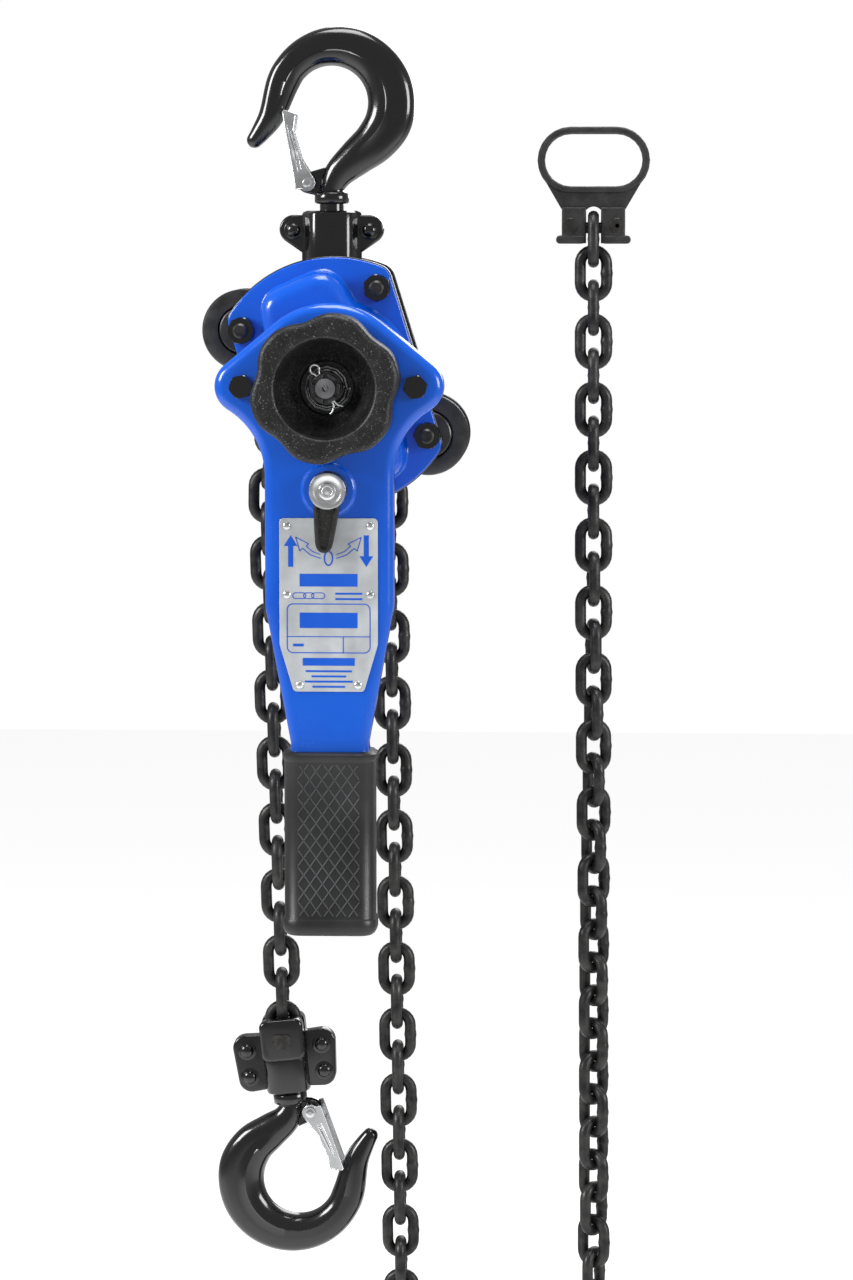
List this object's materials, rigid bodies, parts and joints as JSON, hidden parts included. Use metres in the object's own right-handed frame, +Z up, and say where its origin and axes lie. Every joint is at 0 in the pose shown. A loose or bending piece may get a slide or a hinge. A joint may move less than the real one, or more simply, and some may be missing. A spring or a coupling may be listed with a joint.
{
  "type": "lever chain hoist",
  "caption": "Manual lever hoist: ratchet lever and handwheel drive a geared load sheave that hauls a link chain between two latched swivel hooks.",
  "frame": {"origin": "centre of the top hook's bowl, in the chain's centre plane", "axes": "+Z up the hanging hoist; +Y through the hook's bowl and along the drive shaft, from the handwheel towards the gear case; +X to the slack chain's side"},
  "size_m": [0.2359, 0.145, 0.7912],
  "materials": {
    "black_paint": "glossy black enamel",
    "blue_enamel": "glossy blue enamel",
    "black_cast": "rough black cast finish with worn edges",
    "chain_steel": "blackened alloy steel, semi-matt",
    "zinc": "bright zinc plate",
    "machined_steel": "machined and lightly oiled",
    "dark_steel": "blackened steel",
    "friction": "moulded friction lining",
    "bronze": "sintered bronze",
    "rubber": "matt moulded rubber",
    "aluminium_plate": "brushed, printed in blue"
  },
  "bodies": {
    "frame": {"front_side_plate": "black_paint", "rear_side_plate": "black_paint", "stay_bolts": "dark_steel", "stay_nuts": "black_paint", "gear_case": "black_paint", "brake_cover": "blue_enamel", "sheave_bushes": "bronze", "chain_stripper": "chain_steel", "suspension_pin": "dark_steel", "pawl_pins": "zinc"},
    "ratchet": {"ratchet_disc": "machined_steel", "friction_discs": "friction"},
    "upper_pawl": {"brake_pawl_upper": "machined_steel"},
    "lower_pawl": {"brake_pawl_lower": "machined_steel"},
    "upper_roller": {"guide_roller_upper": "black_cast"},
    "lower_roller": {"guide_roller_lower": "black_cast"},
    "sheave": {"load_sheave": "chain_steel", "load_gear": "machined_steel", "sheave_chain": "chain_steel"},
    "drive": {"drive_shaft": "machined_steel", "brake_hub": "machined_steel", "change_gear": "machined_steel", "castle_nut": "dark_steel", "split_pin": "zinc", "freewheel_spring": "zinc"},
    "hand_wheel": {"handwheel": "black_cast"},
    "upper_gear": {"intermediate_gear_upper": "machined_steel"},
    "lower_gear": {"intermediate_gear_lower": "machined_steel"},
    "lever": {"lever_front_shell": "blue_enamel", "lever_rear_shell": "blue_enamel", "lever_bolts": "black_paint", "lever_grip": "rubber", "rating_plate": "aluminium_plate", "plate_rivets": "zinc"},
    "selector": {"selector_knob": "black_cast", "selector_pawl": "machined_steel", "selector_screw": "zinc", "selector_washer": "zinc"},
    "top_suspension": {"top_yoke_front": "black_paint", "top_yoke_rear": "black_paint", "top_yoke_rivets": "dark_steel"},
    "upper_hook": {"top_hook": "black_paint", "top_latch_pin": "zinc", "top_latch_spring": "zinc"},
    "upper_latch": {"top_latch": "zinc"},
    "load_strand": {"load_chain_upper": "chain_steel"},
    "load_strand_end": {"load_chain_lower": "chain_steel"},
    "bottom_block": {"bottom_yoke_front": "black_paint", "bottom_yoke_rear": "black_paint", "bottom_yoke_rivets": "dark_steel", "chain_pin": "dark_steel"},
    "lower_hook": {"bottom_hook": "black_paint", "bottom_latch_pin": "zinc", "bottom_latch_spring": "zinc"},
    "lower_latch": {"bottom_latch": "zinc"},
    "slack_strand": {"slack_chain": "chain_steel"},
    "tail_loop": {"tail_chain_lower": "chain_steel"},
    "tail": {"tail_chain_upper": "chain_steel"},
    "stop_ring": {"end_ring": "black_cast", "end_ring_pin": "dark_steel"}
  },
  "joints": [
    {"name": "sheave_turn", "type": "hinge", "parent": "frame", "child": "sheave", "pos_m": [0.0026, 0, -0.147], "axis": [0, 1, 0], "range_deg": [-8, 8]},
    {"name": "drive_turn", "type": "hinge", "parent": "frame", "child": "drive", "pos_m": [0.0026, 0, -0.147], "axis": [0, 1, 0], "range_deg": [-57, 57]},
    {"name": "upper_gear_turn", "type": "hinge", "parent": "frame", "child": "upper_gear", "pos_m": [-0.00642, 0, -0.11839], "axis": [0, 1, 0], "range_deg": [-19, 19]},
    {"name": "lower_gear_turn", "type": "hinge", "parent": "frame", "child": "lower_gear", "pos_m": [0.01162, 0, -0.17561], "axis": [0, 1, 0], "range_deg": [-19, 19]},
    {"name": "handwheel_pull", "type": "slide", "parent": "drive", "child": "hand_wheel", "axis": [0, -1, 0], "range_m": [0, 0.0036], "deforming": ["freewheel_spring"]},
    {"name": "ratchet_play", "type": "hinge", "parent": "frame", "child": "ratchet", "pos_m": [0.0026, 0, -0.147], "axis": [0, 1, 0], "range_deg": [-0.5, 5]},
    {"name": "upper_pawl_lift", "type": "hinge", "parent": "frame", "child": "upper_pawl", "pos_m": [-0.0254, 0, -0.108], "axis": [0, -1, 0], "range_deg": [0, 10]},
    {"name": "lower_pawl_lift", "type": "hinge", "parent": "frame", "child": "lower_pawl", "pos_m": [0.0306, 0, -0.186], "axis": [0, -1, 0], "range_deg": [0, 10]},
    {"name": "upper_roller_turn", "type": "hinge", "parent": "frame", "child": "upper_roller", "pos_m": [-0.0464, 0, -0.1195], "axis": [0, 1, 0], "continuous": true},
    {"name": "lower_roller_turn", "type": "hinge", "parent": "frame", "child": "lower_roller", "pos_m": [0.0516, 0, -0.1745], "axis": [0, 1, 0], "continuous": true},
    {"name": "lever_swing", "type": "hinge", "parent": "frame", "child": "lever", "pos_m": [0.0026, 0, -0.147], "axis": [0, 1, 0], "continuous": true},
    {"name": "selector_throw", "type": "hinge", "parent": "lever", "child": "selector", "pos_m": [0.0026, 0, -0.2002], "axis": [0, 1, 0], "range_deg": [-30, 30]},
    {"name": "top_yoke_swing", "type": "hinge", "parent": "frame", "child": "top_suspension", "pos_m": [-0.0004, 0, -0.09], "axis": [0, 1, 0], "range_deg": [-12, 12]},
    {"name": "top_hook_swivel", "type": "hinge", "parent": "top_suspension", "child": "upper_hook", "pos_m": [0, 0, 0], "axis": [0, 0, 1], "continuous": true},
    {"name": "top_latch_open", "type": "hinge", "parent": "upper_hook", "child": "upper_latch", "pos_m": [-0.0124, 0, -0.0423], "axis": [0, 1, 0], "range_deg": [0, 35]},
    {"name": "load_strand_run", "type": "slide", "parent": "frame", "child": "load_strand", "axis": [0.1564, 0, 0.9877], "range_m": [-0.0042, 0.0042]},
    {"name": "load_strand_swing", "type": "hinge", "parent": "load_strand", "child": "load_strand_end", "pos_m": [-0.03215, 0, -0.32099], "axis": [0, 1, 0], "range_deg": [0, 8]},
    {"name": "bottom_block_swing", "type": "hinge", "parent": "load_strand_end", "child": "bottom_block", "pos_m": [-0.02711, 0, -0.50127], "axis": [0, 1, 0], "range_deg": [-4, 12]},
    {"name": "bottom_hook_swivel", "type": "hinge", "parent": "bottom_block", "child": "lower_hook", "pos_m": [-0.01896, 0, -0.57885], "axis": [0.1045, 0, -0.9945], "continuous": true},
    {"name": "bottom_latch_open", "type": "hinge", "parent": "lower_hook", "child": "lower_latch", "pos_m": [-0.01218, 0, -0.54063], "axis": [0, 1, 0], "range_deg": [0, 35]},
    {"name": "slack_strand_run", "type": "slide", "parent": "frame", "child": "slack_strand", "axis": [0.0672, 0, -0.9977], "range_m": [-0.0042, 0.0042]},
    {"name": "tail_loop_swing", "type": "hinge", "parent": "slack_strand", "child": "tail_loop", "pos_m": [0.03705, 0, -0.6739], "axis": [0, 1, 0], "range_deg": [-2, 2]},
    {"name": "tail_swing", "type": "hinge", "parent": "tail_loop", "child": "tail", "pos_m": [0.13958, 0, -0.35462], "axis": [0.9014, 0.4329, 0.0039], "range_deg": [-1.5, 1.5]},
    {"name": "end_ring_tip", "type": "hinge", "parent": "tail", "child": "stop_ring", "pos_m": [0.13835, 0, -0.06577], "axis": [1, 0, 0], "range_deg": [-6, 6]}
  ],
  "couplings": [
    {"joint": "drive_turn", "follows": "sheave_turn", "ratio": 7},
    {"joint": "upper_gear_turn", "follows": "sheave_turn", "ratio": -2.3333},
    {"joint": "lower_gear_turn", "follows": "sheave_turn", "ratio": -2.3333},
    {"joint": "load_strand_run", "follows": "sheave_turn", "m_per_rad": 0.02932},
    {"joint": "slack_strand_run", "follows": "sheave_turn", "m_per_rad": 0.02932}
  ]
}
